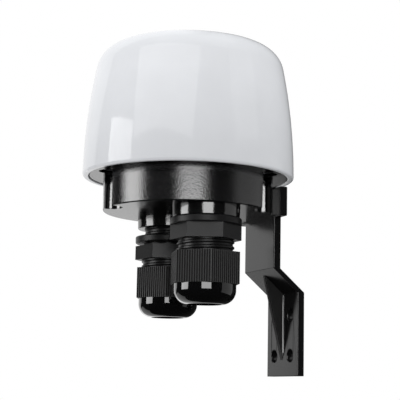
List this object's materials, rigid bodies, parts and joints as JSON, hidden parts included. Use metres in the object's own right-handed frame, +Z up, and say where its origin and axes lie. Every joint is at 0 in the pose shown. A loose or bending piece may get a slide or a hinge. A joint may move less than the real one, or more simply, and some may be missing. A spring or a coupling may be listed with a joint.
{
  "type": "photocell switch",
  "caption": "Outdoor light-controlled switch: opal cover on a black base with cable glands underneath, on a stepped wall bracket with a gusset.",
  "frame": {"origin": "centre of the four wall holes, on the back face of the wall bracket", "axes": "+Y into the wall, +Z up along the axis of the cover, +X to the right seen from the front"},
  "size_m": [0.078, 0.0813, 0.124],
  "materials": {
    "opal": "smooth glossy opal white",
    "base_black": "fine spark-eroded satin black",
    "bracket_black": "satin black",
    "gland_nylon": "satin black nylon",
    "nut_nylon": "black nylon, ribbed sides and a glossy nose",
    "gasket_rubber": "matt black rubber",
    "screw_steel": "zinc-plated steel",
    "board_green": "green solder mask",
    "relay_case": "blue moulded case",
    "terminal_plastic": "green moulded block",
    "cell_resin": "clear resin over an ochre track",
    "film_box": "red box",
    "can_sleeve": "dark blue sleeve",
    "diode_epoxy": "black epoxy",
    "resistor_lacquer": "beige lacquer",
    "varistor_epoxy": "blue epoxy"
  },
  "bodies": {
    "root": {"cover_shell": "opal", "base_housing": "base_black", "wall_bracket": "bracket_black", "front_gland_body": "gland_nylon", "rear_gland_body": "gland_nylon", "front_gland_nut": "nut_nylon", "rear_gland_nut": "nut_nylon", "front_gland_gasket": "gasket_rubber", "rear_gland_gasket": "gasket_rubber", "front_gland_seal": "gasket_rubber", "rear_gland_seal": "gasket_rubber", "cover_seal": "gasket_rubber", "cover_screws": "screw_steel", "bracket_screws": "screw_steel", "board_screws": "screw_steel", "terminal_screws": "screw_steel", "circuit_board": "board_green", "relay": "relay_case", "terminal_block": "terminal_plastic", "light_cell": "cell_resin", "dropper_capacitor": "film_box", "smoothing_capacitor": "can_sleeve", "rectifier_diodes": "diode_epoxy", "transistor": "diode_epoxy", "resistors": "resistor_lacquer", "varistor": "varistor_epoxy"}
  },
  "joints": []
}
